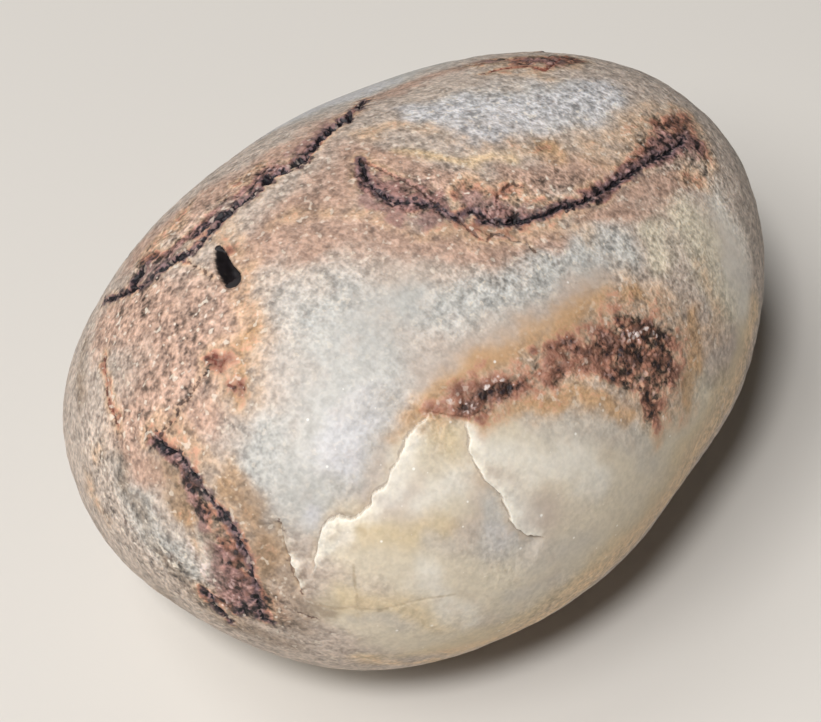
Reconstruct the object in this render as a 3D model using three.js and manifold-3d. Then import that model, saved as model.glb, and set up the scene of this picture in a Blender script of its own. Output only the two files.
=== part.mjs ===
// A rough jasper pebble: one water-worn stone, egg-shaped, lying on its broad side.
// Millimetres, +Z up, +X along its length. The origin is on the ground, under the middle of the pebble.
// The form is a tapered ellipsoid with low swells and flats worn into it. Fissures, a pit, thin broken
// layers and pitted, iron-stained ground are cut into that form as relief, measured along the radius.
import * as THREE from "three";
import { ImprovedNoise } from "three/addons/math/ImprovedNoise.js";
import { mergeVertices } from "three/addons/utils/BufferGeometryUtils.js";
import Module from "manifold-3d";

// ---- Driving dimensions ----
const HALF_LENGTH = 27.0;
const HALF_WIDTH = 20.6;
const HALF_HEIGHT = 16.8;
const WIDTH_TAPER = -0.1; // share by which the width grows towards +X: the fat end is at -X
const HEIGHT_TAPER = -0.06;
const CENTRE = new THREE.Vector3(0, 0, 16.5); // of the ellipsoid; below it the ground wears a small flat

// The show face is the side seen from this bearing and height. Marks on it are drawn on a flat chart,
// which stands square to the line of sight, and are carried onto the stone along the rays from the eye.
const SHOW_FACE = { bearing: -47, height: 50, middle: [-1.7, -1.45] };
const BACK_FACE = { bearing: 133, height: 5, middle: [0, 0] };
const EYE_DISTANCE = 210;

// Swells (+) and flats (-) round the rim of the show face, anticlockwise, every 22.5 degrees from 11.25.
const RIM_SWELLS = [0.5, 0.8, 0.6, 0, -0.8, -0.6, -0.7, -0.4, 1.3, 1.1, -1.0, 1.0, -0.7, 0.2, -0.4, 0.5];
const RIM_SWELL_SPREAD = 17; // degrees
// The others: longitude, latitude and spread in degrees, then height.
const OTHER_SWELLS = [
  [60, -15, 26, 0.5],
  [110, -30, 24, -0.5],
  [20, -20, 22, 0.4],
  [-60, 62, 26, -0.3],
  [150, 45, 24, 0.3],
];

// ---- Relief: paths are in mm right and up of the chart's middle ----
// A fissure is a V-shaped groove, this wide and deep along the middle of its path; its ends run out.
const FISSURES = [
  {
    face: SHOW_FACE, // along the rim
    halfWidth: 0.6,
    depth: 0.5,
    path: [[-21.5, 4.2], [-20.3, 4.6], [-18.7, 5.4], [-17.7, 6.3], [-15.9, 7.4], [-14.8, 8.2], [-14.0, 9.2],
      [-12.9, 10.4], [-12.1, 10.8], [-11.0, 11.9], [-9.9, 12.9], [-8.8, 13.4], [-7.7, 14.3], [-6.5, 15.5],
      [-5.6, 16.2], [-4.6, 16.9], [-3.5, 17.8]],
  },
  {
    face: SHOW_FACE, // across the top, left half
    halfWidth: 0.5,
    depth: 0.4,
    path: [[-3.6, 14.1], [-3.3, 13.4], [-3.0, 12.6], [-2.5, 12.0], [-1.6, 11.4], [-0.5, 11.1], [0.9, 11.1],
      [1.9, 10.9], [2.6, 10.4], [3.3, 9.9]],
  },
  {
    face: SHOW_FACE, // across the top, right half
    halfWidth: 0.5,
    depth: 0.4,
    path: [[4.2, 10.1], [5.1, 9.9], [6.3, 9.8], [7.5, 9.8], [8.7, 10.1], [9.9, 10.4], [11.3, 10.9],
      [12.6, 11.6], [13.9, 12.2], [14.9, 13.3], [16.1, 13.9], [17.1, 14.6], [18.0, 14.9], [18.9, 15.4]],
  },
  {
    face: SHOW_FACE, // down the left end
    halfWidth: 0.55,
    depth: 0.5,
    path: [[-17.8, -5.5], [-17.3, -6.2], [-16.1, -6.9], [-15.4, -7.8], [-14.7, -8.8], [-14.0, -9.7],
      [-13.3, -10.6], [-12.6, -11.6], [-12.1, -12.4], [-11.7, -13.4], [-11.3, -14.2], [-11.0, -15.6],
      [-10.8, -16.8]],
  },
  {
    face: BACK_FACE, // on from the rim fissure, down the back
    halfWidth: 0.55,
    depth: 0.5,
    path: [[21.5, 6.4], [19.6, 4.4], [17.0, 2.6], [14.6, 1.9], [11.8, -0.1], [9.0, -0.8], [6.6, -2.5],
      [4.4, -3.1]],
  },
  {
    face: BACK_FACE, // down the back of the narrow end
    halfWidth: 0.5,
    depth: 0.4,
    path: [[-8.6, 9.2], [-10.8, 7.2], [-11.6, 4.6], [-13.8, 2.4], [-14.4, -0.4], [-16.0, -2.4]],
  },
];

// The pit is a steep-sided hollow, narrower at its upper end.
const PIT = {
  face: SHOW_FACE,
  halfWidth: 0.75,
  depth: 1.1,
  path: [[-13.3, 7.7], [-13.1, 7.0], [-12.7, 6.1], [-12.4, 5.6]],
};
const PIT_FLOOR = 0.45; // share of its half width that is floor

// Where a thin layer has broken off, the ground to the right of the path, going along it, is lower.
const LAYER_EDGES = [
  {
    face: SHOW_FACE, // the long one, below the middle
    drop: 0.35,
    path: [[1.4, -3.7], [0.3, -4.8], [-0.5, -5.7], [-0.8, -6.5], [-1.4, -7.6], [-1.7, -8.3], [-2.3, -9.0],
      [-2.9, -9.6], [-3.0, -10.2], [-3.6, -10.7], [-4.6, -11.0], [-5.8, -11.3], [-6.4, -11.8], [-6.6, -12.6],
      [-6.8, -13.7], [-7.0, -15.2]],
  },
  {
    face: SHOW_FACE, // the scalloped one, to its right
    drop: 0.35,
    path: [[3.9, -4.1], [4.1, -5.4], [4.2, -6.4], [4.2, -7.0], [4.6, -7.7], [5.2, -8.4], [5.9, -9.1],
      [6.4, -9.5], [6.4, -10.1], [6.9, -10.6], [7.1, -11.4], [7.4, -11.9], [8.0, -12.2], [9.6, -12.7]],
  },
  {
    face: SHOW_FACE, // the short one, beside the left end's fissure
    drop: 0.25,
    path: [[-9.2, -11.4], [-9.1, -12.5], [-8.9, -13.4], [-8.4, -14.5], [-8.0, -15.3], [-7.6, -16.2]],
  },
  {
    face: BACK_FACE,
    drop: 0.35,
    path: [[-3.4, 5.4], [-2.2, 4.0], [-2.0, 2.2], [-0.4, 0.9], [0.0, -0.8], [1.6, -2.0], [1.8, -3.8],
      [3.4, -5.2], [3.6, -7.0]],
  },
];
const LAYER_REACH = 3.5; // how far from the edge the lowered ground slopes back up to the form
const LAYER_RISER = 0.25; // width of the step itself

// Pitted ground: round patches of chart middle and radius, roughened by hollows of one grain size.
const PITTED_PATCHES = [
  { face: SHOW_FACE, at: [16.4, 0.6], radius: 3.0 },
  { face: SHOW_FACE, at: [10.6, 0.2], radius: 1.8 },
  { face: SHOW_FACE, at: [5.2, -2.5], radius: 2.2 },
  { face: SHOW_FACE, at: [-12.6, -16.6], radius: 2.0 },
  { face: BACK_FACE, at: [-13.6, 1.6], radius: 2.4 },
  { face: BACK_FACE, at: [4.6, -3.6], radius: 2.0 },
];
const PITTED_GRAIN = 1.3;
const PITTED_DEPTH = 0.3;

// ---- Mesh fineness ----
const BASE_SPLITS = 8; // of each edge of the starting icosahedron
const FINE_EDGE = 1.1; // longest triangle edge on a mark
const COARSE_EDGE = 3.0; // and far from all marks
const EDGE_GROWTH = 0.8; // how fast the limit grows with distance from a mark
const CUT_MARGIN = 0.1; // a cut this close to the end of an edge, as a share of it, isn't made
const CUT_RANGE = 2; // mm from a mark to look for edges that its lines cross

const radians = THREE.MathUtils.degToRad;
const noise = new ImprovedNoise();

// The unit vector at a longitude and latitude in degrees.
function heading(longitude, latitude) {
  const [lon, lat] = [radians(longitude), radians(latitude)];
  return new THREE.Vector3(Math.cos(lat) * Math.cos(lon), Math.cos(lat) * Math.sin(lon), Math.sin(lat));
}

// Right, up and towards-the-eye unit vectors of a face's chart.
function chartAxes({ bearing, height }) {
  const towards = heading(bearing - 90, height);
  const right = heading(bearing, 0);
  return { right, up: new THREE.Vector3().crossVectors(towards, right), towards };
}

const swells = OTHER_SWELLS.map(([longitude, latitude, spread, rise]) => ({
  towards: heading(longitude, latitude),
  spread: radians(spread),
  rise,
}));
const show = chartAxes(SHOW_FACE);
RIM_SWELLS.forEach((rise, i) => {
  const turn = ((i + 0.5) * 2 * Math.PI) / RIM_SWELLS.length;
  const towards = new THREE.Vector3()
    .addScaledVector(show.right, Math.cos(turn))
    .addScaledVector(show.up, Math.sin(turn));
  swells.push({ towards, spread: radians(RIM_SWELL_SPREAD), rise });
});

// Distance from CENTRE to the smooth form's surface in a direction.
function formRadius(direction) {
  const width = HALF_WIDTH * (1 + WIDTH_TAPER * direction.x);
  const height = HALF_HEIGHT * (1 + HEIGHT_TAPER * direction.x);
  const ellipsoid = 1 / Math.hypot(direction.x / HALF_LENGTH, direction.y / width, direction.z / height);
  return swells.reduce((radius, { towards, spread, rise }) => {
    const turn = direction.angleTo(towards) / spread;
    return radius + rise * Math.exp(-turn * turn);
  }, ellipsoid);
}

const heightOverForm = (point) => {
  const offset = point.clone().sub(CENTRE);
  return offset.length() - formRadius(offset.clone().normalize());
};

// The point of the form where the ray from a face's eye through a chart point first meets it,
// or comes nearest to it if the ray passes by.
function onForm(face, [x, y]) {
  const { right, up, towards } = chartAxes(face);
  const onChart = CENTRE.clone()
    .addScaledVector(right, face.middle[0] + x)
    .addScaledVector(up, face.middle[1] + y);
  const middle = CENTRE.clone().addScaledVector(right, face.middle[0]).addScaledVector(up, face.middle[1]);
  const eye = middle.addScaledVector(towards, EYE_DISTANCE);
  const ray = onChart.sub(eye).normalize();
  const at = (distance) => eye.clone().addScaledVector(ray, distance);
  const step = 0.2;
  let best = EYE_DISTANCE - HALF_LENGTH;
  for (let s = best; s < EYE_DISTANCE + HALF_LENGTH && heightOverForm(at(best)) > 0; s += step) {
    if (heightOverForm(at(s)) < heightOverForm(at(best))) best = s;
  }
  const direction = at(best).sub(CENTRE).normalize();
  return CENTRE.clone().addScaledVector(direction, formRadius(direction));
}

// A path laid onto the form, with the distance along it to each point.
function layPath({ face, path }) {
  const points = path.map((point) => onForm(face, point));
  const lengths = [0];
  points.slice(1).forEach((point, i) => lengths.push(lengths[i] + point.distanceTo(points[i])));
  return { points, lengths };
}

// The nearest place on a laid path: how far to the right of it a point lies (negative to the left),
// and the place's share of the path's length.
function besidePath({ points, lengths }, point, outward) {
  let nearest = { right: Infinity, share: 0 };
  for (let i = 0; i + 1 < points.length; i++) {
    const segment = new THREE.Line3(points[i], points[i + 1]);
    const along = segment.closestPointToPointParameter(point, true);
    const foot = segment.at(along, new THREE.Vector3());
    const away = foot.distanceTo(point);
    if (away >= Math.abs(nearest.right)) continue;
    const left = new THREE.Vector3().crossVectors(outward, segment.delta(new THREE.Vector3()));
    const side = foot.sub(point).dot(left) < 0 ? -1 : 1;
    const travelled = lengths[i] + along * (lengths[i + 1] - lengths[i]);
    nearest = { right: side * away, share: travelled / lengths.at(-1) };
  }
  return nearest;
}

const { smoothstep } = THREE.MathUtils;
const runOut = (share) => smoothstep(share, 0, 0.1) * (1 - smoothstep(share, 0.9, 1));

// Height of each kind of line mark at a distance to the right of its path.
const grooveHeight = ({ halfWidth, depth }, right) => -depth * Math.max(0, 1 - Math.abs(right) / halfWidth);
const pitHeight = ({ halfWidth, depth }, right) =>
  depth * (smoothstep(Math.abs(right) / halfWidth, PIT_FLOOR, 1) - 1);
const layerHeight = ({ drop }, right) =>
  drop * smoothstep(right, -LAYER_RISER, 0) * (smoothstep(right, 0, LAYER_REACH) - 1);

// A mark's creases are the distances to the right of its path where its section bends.
const lineMarks = [
  ...FISSURES.map((mark) => ({
    ...layPath(mark),
    creases: [-mark.halfWidth, 0, mark.halfWidth],
    height: (right, share) => runOut(share) * grooveHeight(mark, right),
  })),
  ...LAYER_EDGES.map((mark) => ({
    ...layPath(mark),
    creases: [-LAYER_RISER, 0],
    height: (right, share) => runOut(share) * layerHeight(mark, right),
  })),
  {
    ...layPath(PIT),
    creases: [-1, -PIT_FLOOR, PIT_FLOOR, 1].map((share) => share * PIT.halfWidth),
    height: (right) => pitHeight(PIT, right),
  },
];
const pittedPatches = PITTED_PATCHES.map((patch) => ({ ...patch, point: onForm(patch.face, patch.at) }));

// Height of all the marks over the form at one of its points.
function relief(point, outward) {
  const lines = lineMarks.reduce((sum, mark) => {
    const { right, share } = besidePath(mark, point, outward);
    return sum + mark.height(right, share);
  }, 0);
  const grain = point.clone().divideScalar(PITTED_GRAIN);
  const hollow = PITTED_DEPTH * (noise.noise(grain.x, grain.y, grain.z) - 0.4);
  return pittedPatches.reduce((sum, { point: middle, radius }) => {
    return sum + hollow * (1 - smoothstep(point.distanceTo(middle), 0.6 * radius, 1.1 * radius));
  }, lines);
}

// The longest triangle edge allowed at a point of the form: short on a mark, longer away from it.
function edgeLimit(point, outward) {
  const lines = lineMarks.map((mark) => {
    return Math.abs(besidePath(mark, point, outward).right) - mark.creases.at(-1);
  });
  const patches = pittedPatches.map((patch) => point.distanceTo(patch.point) - patch.radius);
  const away = Math.max(0, Math.min(...lines, ...patches));
  return Math.min(COARSE_EDGE, FINE_EDGE + EDGE_GROWTH * away);
}

const laidOn = (direction) => CENTRE.clone().addScaledVector(direction, formRadius(direction));
const keyOf = (a, b) => (a < b ? `${a},${b}` : `${b},${a}`);
const sidesOf = ([a, b, c]) => [[a, b], [b, c], [c, a]];

// Halves the triangles of a sphere of directions until no edge, laid on the form, is over its limit.
// A triangle is only ever halved across its longest edge, which keeps the triangles well shaped.
function halveLongEdges(directions, triangles) {
  const edges = new Map();
  const edgeOf = ([a, b]) => {
    const key = keyOf(a, b);
    if (!edges.has(key)) {
      const middle = directions[a].clone().add(directions[b]).normalize();
      const length = laidOn(directions[a]).distanceTo(laidOn(directions[b]));
      edges.set(key, { middle, length, split: length > edgeLimit(laidOn(middle), middle) });
    }
    return edges.get(key);
  };
  for (;;) {
    const sides = triangles.map((triangle) => sidesOf(triangle).map(edgeOf));
    const longest = sides.map((three) => {
      return three.reduce((best, { length }, i) => (length > three[best].length ? i : best), 0);
    });
    for (let changed = true; changed; ) {
      changed = false;
      sides.forEach((three, i) => {
        if (three[longest[i]].split || !three.some(({ split }) => split)) return;
        three[longest[i]].split = changed = true;
      });
    }
    const halved = triangles.flatMap((triangle, i) => {
      const edge = sides[i][longest[i]];
      if (!edge.split) return [triangle];
      edge.index ??= directions.push(edge.middle) - 1;
      const [a, b, c] = [0, 1, 2].map((turn) => triangle[(longest[i] + turn) % 3]);
      return [[a, edge.index, c], [edge.index, b, c]];
    });
    if (halved.length === triangles.length) return triangles;
    triangles = halved;
  }
}

// Cuts the triangles along a crease, the line at one distance to the right of a mark's path.
function cutAlong(directions, triangles, mark, crease) {
  const beyond = directions.map((d) => besidePath(mark, laidOn(d), d).right - crease);
  const cuts = new Map();
  const cutOf = ([a, b]) => {
    const key = keyOf(a, b);
    if (!cuts.has(key)) {
      const share = beyond[a] / (beyond[a] - beyond[b]);
      const near = Math.abs(beyond[a]) < CUT_RANGE && Math.abs(beyond[b]) < CUT_RANGE;
      const crosses = near && share > CUT_MARGIN && share < 1 - CUT_MARGIN;
      const direction = directions[a].clone().lerp(directions[b], share).normalize();
      cuts.set(key, crosses ? directions.push(direction) - 1 : null);
    }
    return cuts.get(key);
  };
  return triangles.flatMap((triangle) => {
    const found = sidesOf(triangle).map(cutOf);
    const count = found.filter((cut) => cut !== null).length;
    if (count === 0) return [triangle];
    // Turned so that the cut edges are the first, or the first and the last.
    const start = count === 1 ? found.findIndex((cut) => cut !== null) : (found.indexOf(null) + 2) % 3;
    const [a, b, c] = [0, 1, 2].map((turn) => triangle[(start + turn) % 3]);
    const [ab, , ca] = [0, 1, 2].map((turn) => found[(start + turn) % 3]);
    return count === 1 ? [[a, ab, c], [ab, b, c]] : [[a, ab, ca], [ab, b, c], [ab, c, ca]];
  });
}

// A closed solid from vertices and triangles.
function solidOf(wasm, positions, indices) {
  return new wasm.Manifold(new wasm.Mesh({ numProp: 3, vertProperties: positions, triVerts: indices }));
}

// The block of ground that wears the flat that the pebble rests on.
function groundSolid(wasm) {
  const block = new THREE.BoxGeometry(4 * HALF_LENGTH, 4 * HALF_LENGTH, HALF_HEIGHT);
  block.translate(0, 0, -HALF_HEIGHT / 2).deleteAttribute("normal");
  const merged = mergeVertices(block.deleteAttribute("uv"));
  return solidOf(wasm, merged.attributes.position.array, new Uint32Array(merged.index.array));
}

// The worn stone before the ground is cut from it.
function stoneSolid(wasm) {
  const ball = new THREE.IcosahedronGeometry(1, BASE_SPLITS).deleteAttribute("normal").deleteAttribute("uv");
  const start = mergeVertices(ball, 1e-5);
  const directions = [];
  for (let i = 0; i < start.attributes.position.count; i++) {
    directions.push(new THREE.Vector3().fromBufferAttribute(start.attributes.position, i).normalize());
  }
  const first = [];
  for (let i = 0; i < start.index.count; i += 3) first.push([...start.index.array.slice(i, i + 3)]);
  let triangles = halveLongEdges(directions, first);
  for (const mark of lineMarks) {
    for (const crease of mark.creases) triangles = cutAlong(directions, triangles, mark, crease);
  }
  const positions = directions.flatMap((direction) => {
    const point = laidOn(direction);
    return point.clone().addScaledVector(direction, relief(point, direction)).toArray();
  });
  return solidOf(wasm, new Float32Array(positions), new Uint32Array(triangles.flat()));
}

async function pebble() {
  const wasm = await Module();
  wasm.setup();
  const cut = stoneSolid(wasm).subtract(groundSolid(wasm)).getMesh();
  const geometry = new THREE.BufferGeometry();
  geometry.setAttribute("position", new THREE.BufferAttribute(cut.vertProperties, 3));
  geometry.setIndex(new THREE.BufferAttribute(cut.triVerts, 1));
  geometry.computeVertexNormals();
  const jasper = new THREE.MeshStandardMaterial({ color: 0xb3a08c, roughness: 0.55, metalness: 0 });
  const mesh = new THREE.Mesh(geometry, jasper);
  mesh.name = "pebble";
  return mesh;
}

const jasperPebble = new THREE.Group();
jasperPebble.add(await pebble());

export default jasperPebble;
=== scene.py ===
import math

import bmesh
import bpy
import numpy as np
from mathutils import Matrix, Vector, noise


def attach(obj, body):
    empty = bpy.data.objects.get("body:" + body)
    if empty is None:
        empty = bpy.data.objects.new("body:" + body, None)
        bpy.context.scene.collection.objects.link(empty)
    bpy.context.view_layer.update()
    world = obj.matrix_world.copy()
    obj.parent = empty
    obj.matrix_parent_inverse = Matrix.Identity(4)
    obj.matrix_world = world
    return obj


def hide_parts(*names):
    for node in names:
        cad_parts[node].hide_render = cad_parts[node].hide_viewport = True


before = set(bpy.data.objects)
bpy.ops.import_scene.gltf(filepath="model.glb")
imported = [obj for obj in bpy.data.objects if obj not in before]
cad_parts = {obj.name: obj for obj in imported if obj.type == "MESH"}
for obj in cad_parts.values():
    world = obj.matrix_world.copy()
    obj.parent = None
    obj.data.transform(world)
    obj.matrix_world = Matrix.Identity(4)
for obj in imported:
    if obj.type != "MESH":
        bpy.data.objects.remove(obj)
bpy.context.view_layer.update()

MM = 0.001

# A rough jasper pebble: water-worn chalcedony and quartz, stained by iron and manganese along its
# healed fissures. Sizes are in mm until the last step, in the part's own frame: its length lies along X
# and it rests at z = 0.

# ---- The form: a tapered ellipsoid with low swells and flats worn into it ----
HALF_LENGTH, HALF_WIDTH, HALF_HEIGHT = 27.0, 20.6, 16.8
WIDTH_TAPER, HEIGHT_TAPER = -0.1, -0.06
CENTRE = np.array([0.0, 0.0, 16.5])

# A chart is a flat sheet square to the line of sight at one bearing and height, in degrees. Places on
# it are in mm right and up of its middle, and go onto the stone along the rays from the eye.
SHOW_FACE = dict(bearing=-47, height=50, middle=(-1.7, -1.45))
BACK_FACE = dict(bearing=133, height=5, middle=(0.0, 0.0))
UNDER_FACE = dict(bearing=0, height=-90, middle=(0.0, 0.0))
EYE_DISTANCE = 210.0
RAY_STEP = 0.1  # along a ray, to find where it first meets the stone

RIM_SWELLS = [0.5, 0.8, 0.6, 0, -0.8, -0.6, -0.7, -0.4, 1.3, 1.1, -1.0, 1.0, -0.7, 0.2, -0.4, 0.5]
RIM_SWELL_SPREAD = 17
OTHER_SWELLS = [  # longitude, latitude, spread, height
    (60, -15, 26, 0.5),
    (110, -30, 24, -0.5),
    (20, -20, 22, 0.4),
    (-60, 62, 26, -0.3),
    (150, 45, 24, 0.3),
]

# ---- Fissures: depth, then a path of (right, up, half width) ----
FISSURES = [
    (SHOW_FACE, 0.7, [  # along the rim
        (-21.5, 4.2, 0.19), (-20.3, 4.6, 0.25), (-19.5, 5.0, 0.25), (-18.7, 5.3, 0.29),
        (-17.7, 6.3, 0.3), (-16.7, 7.0, 0.38), (-15.9, 7.4, 0.56), (-15.3, 7.9, 0.66),
        (-14.7, 8.4, 0.66), (-14.0, 9.1, 0.45), (-13.2, 9.9, 0.38), (-12.3, 10.8, 0.38),
        (-11.2, 11.6, 0.58), (-10.4, 12.3, 0.56), (-9.7, 13.0, 0.79), (-8.8, 13.4, 1),
        (-7.9, 13.9, 0.93), (-7.0, 14.8, 0.61), (-6.3, 15.5, 0.61), (-5.6, 16.2, 0.78),
        (-4.8, 16.9, 0.78), (-3.7, 17.7, 0.7), (-3.2, 18.4, 0.45)]),
    (SHOW_FACE, 0.4, [  # its loop round a white grain
        (-19.4, 5.1, 0.22), (-19.3, 5.7, 0.48), (-18.9, 6.3, 0.62), (-18.4, 6.9, 0.31)]),
    (SHOW_FACE, 0.4, [  # its second strand
        (-15.0, 8.8, 0.24), (-14.4, 9.5, 0.34), (-13.6, 10.0, 0.25), (-12.8, 10.4, 0.24)]),
    (SHOW_FACE, 0.6, [  # across the top, left
        (-3.6, 14.1, 0.18), (-3.3, 13.4, 0.21), (-3.0, 12.6, 0.25), (-2.5, 12.0, 0.27),
        (-1.6, 11.4, 0.3), (-0.5, 11.1, 0.35), (0.9, 11.1, 0.31), (1.9, 10.9, 0.22),
        (2.6, 10.4, 0.18), (3.3, 9.9, 0.14)]),
    (SHOW_FACE, 0.3, [  # across the top, the crystal-lined middle
        (3.3, 9.9, 0.15), (3.7, 10.4, 0.23), (4.4, 10.6, 0.22), (5.1, 10.4, 0.18)]),
    (SHOW_FACE, 0.6, [  # across the top, right
        (4.9, 9.9, 0.17), (6.0, 9.8, 0.26), (7.0, 9.9, 0.25), (8.1, 9.9, 0.24), (9.1, 10.2, 0.23),
        (10.2, 10.6, 0.19), (11.3, 10.9, 0.27), (12.2, 11.2, 0.3), (13.1, 11.7, 0.29),
        (14.0, 12.2, 0.25), (15.1, 12.9, 0.18), (16.3, 13.7, 0.18), (17.3, 14.4, 0.25),
        (18.2, 14.8, 0.29), (19.0, 15.3, 0.28), (19.4, 16.0, 0.11)]),
    (SHOW_FACE, 0.7, [  # down the left end
        (-17.8, -5.5, 0.27), (-17.3, -6.2, 0.26), (-16.7, -6.4, 0.19), (-16.1, -6.9, 0.23),
        (-15.4, -7.8, 0.16), (-14.7, -8.8, 0.14), (-14.0, -9.7, 0.14), (-13.3, -10.6, 0.2),
        (-12.6, -11.6, 0.24), (-12.1, -12.5, 0.24), (-11.7, -13.4, 0.14), (-11.4, -14.1, 0.1),
        (-11.1, -15.2, 0.16), (-10.8, -16.6, 0.2), (-10.9, -17.4, 0.13)]),
    (SHOW_FACE, 0.4, [
        (-12.1, -17.7, 0.09), (-11.4, -17.1, 0.15), (-10.8, -16.6, 0.2), (-10.7, -17.4, 0.14),
        (-10.4, -18.1, 0.18), (-9.8, -18.3, 0.14)]),
    (SHOW_FACE, 0.4, [
        (-14.5, -16.2, 0.2), (-14.0, -16.5, 0.24), (-13.8, -17.1, 0.19), (-13.2, -17.6, 0.15),
        (-12.6, -18.4, 0.2)]),
    (BACK_FACE, 0.6, [  # on from the rim fissure, down the back
        (21.5, 6.4, 0.2), (19.6, 4.4, 0.3), (17.0, 2.6, 0.35), (14.6, 1.9, 0.25), (11.8, -0.1, 0.4),
        (9.0, -0.8, 0.3), (6.6, -2.5, 0.25), (4.4, -3.1, 0.15)]),
    (BACK_FACE, 0.5, [  # down the back of the narrow end
        (-8.6, 9.2, 0.15), (-10.8, 7.2, 0.3), (-11.6, 4.6, 0.25), (-13.8, 2.4, 0.35),
        (-14.4, -0.4, 0.25), (-16.0, -2.4, 0.12)]),
]

# ---- Veins: red-brown iron in a shallow line, given as the fissures are ----
VEINS = [
    (SHOW_FACE, 0.1, [  # at the left edge
        (-21.4, 0.4, 0.12), (-21.5, -0.6, 0.17), (-21.3, -1.6, 0.16), (-21.2, -2.6, 0.15),
        (-20.9, -3.5, 0.1), (-20.5, -4.7, 0.07)]),
    (SHOW_FACE, 0.15, [  # along the top
        (5.1, 20.1, 0.15), (6.1, 20.4, 0.2), (7.3, 20.6, 0.25), (8.4, 20.7, 0.26), (9.4, 20.4, 0.3),
        (10.0, 20.8, 0.21), (10.5, 21.3, 0.14)]),
    (SHOW_FACE, 0.1, [  # a star-shaped stain, and specks by it
        (-14.3, 0.2, 0.12), (-13.5, -0.2, 0.2), (-12.7, 0.3, 0.12)]),
    (SHOW_FACE, 0.1, [(-13.7, 0.5, 0.1), (-13.3, -0.7, 0.14)]),
    (SHOW_FACE, 0.1, [(-12.7, -1.7, 0.2), (-12.5, -1.8, 0.2)]),
    (SHOW_FACE, 0.1, [(-12.0, -1.6, 0.2), (-11.6, -2.0, 0.16)]),
]

# ---- Hair cracks: brown or grey lines with next to no depth ----
HAIR_CRACKS = [
    (SHOW_FACE, 0.1, [  # from the star-shaped stain to the left end's fissure
        (-13.9, -0.5, 0.09), (-14.7, -1.1, 0.08), (-15.4, -2.4, 0.1), (-16.2, -3.2, 0.1),
        (-16.4, -3.9, 0.08), (-17.0, -4.6, 0.08), (-17.6, -5.3, 0.08)]),
    (SHOW_FACE, 0.1, [(-15.6, 6.9, 0.05), (-14.7, 6.4, 0.07), (-13.7, 5.8, 0.06)]),
    (SHOW_FACE, 0.12, [(3.3, 9.9, 0.1), (3.9, 9.5, 0.12), (4.5, 8.9, 0.1), (5.1, 8.5, 0.08)]),
    (SHOW_FACE, 0.1, [  # the upper side of the lens at the top's left
        (-3.4, 14.1, 0.11), (-2.1, 13.5, 0.09), (-0.9, 12.9, 0.09), (0.2, 12.3, 0.09),
        (1.4, 11.5, 0.08), (2.1, 10.9, 0.08)]),
    (SHOW_FACE, 0.1, [  # round a pale bump
        (6.0, 11.0, 0.08), (6.2, 11.8, 0.07), (6.8, 12.3, 0.08), (7.2, 12.5, 0.09), (7.8, 12.3, 0.09)]),
    (SHOW_FACE, 0.08, [(-7.9, -17.6, 0.08), (-7.3, -17.9, 0.1), (-6.5, -18.1, 0.08)]),
    (SHOW_FACE, 0.1, [  # by the foot of the shortest ledge
        (-9.2, -11.2, 0.07), (-9.0, -12.6, 0.09), (-8.7, -14.0, 0.11), (-8.1, -15.2, 0.09),
        (-7.6, -16.3, 0.06)]),
    (SHOW_FACE, 0.1, [  # the lower side of a small ochre chip
        (5.4, 8.4, 0.07), (5.8, 9.0, 0.09), (6.8, 8.8, 0.08), (7.5, 8.4, 0.08), (8.2, 8.3, 0.07),
        (8.7, 7.7, 0.06)]),
    (BACK_FACE, 0.1, [
        (9.0, -0.8, 0.1), (8.2, 1.6, 0.1), (6.4, 3.0, 0.08), (5.8, 5.4, 0.08), (4.0, 7.2, 0.06)]),
    (BACK_FACE, 0.1, [(-2.0, -4.4, 0.06), (-4.6, -5.2, 0.08), (-7.4, -5.4, 0.08), (-9.4, -6.6, 0.06)]),
]

# ---- Seams: healed cracks in the cream ground, tan lines ----
SEAMS = [
    (SHOW_FACE, 0.03, [
        (-6.4, -17.1, 0.1), (-5.2, -17.4, 0.08), (-4.1, -17.2, 0.06), (-3.2, -17.4, 0.07),
        (-2.1, -17.5, 0.08), (-1.1, -17.2, 0.08), (0.0, -16.9, 0.07), (1.4, -16.6, 0.06),
        (3.1, -16.4, 0.04)]),
    (SHOW_FACE, 0.03, [(-4.0, -14.2, 0.03), (-3.9, -15.6, 0.06), (-3.7, -17.0, 0.06), (-3.6, -19.6, 0.03)]),
    (BACK_FACE, 0.03, [
        (-14.0, -9.0, 0.06), (-9.0, -10.2, 0.08), (-4.0, -9.8, 0.07), (1.0, -10.8, 0.05)]),
]

# ---- The pit, a steep-sided hollow, narrower at its upper end: depth, then a path as above ----
PITS = [
    (SHOW_FACE, 1.2, [(-13.5, 7.9, 0.28), (-13.3, 7.2, 0.48), (-13.0, 6.4, 0.58), (-12.5, 5.7, 0.66)]),
]

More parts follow.
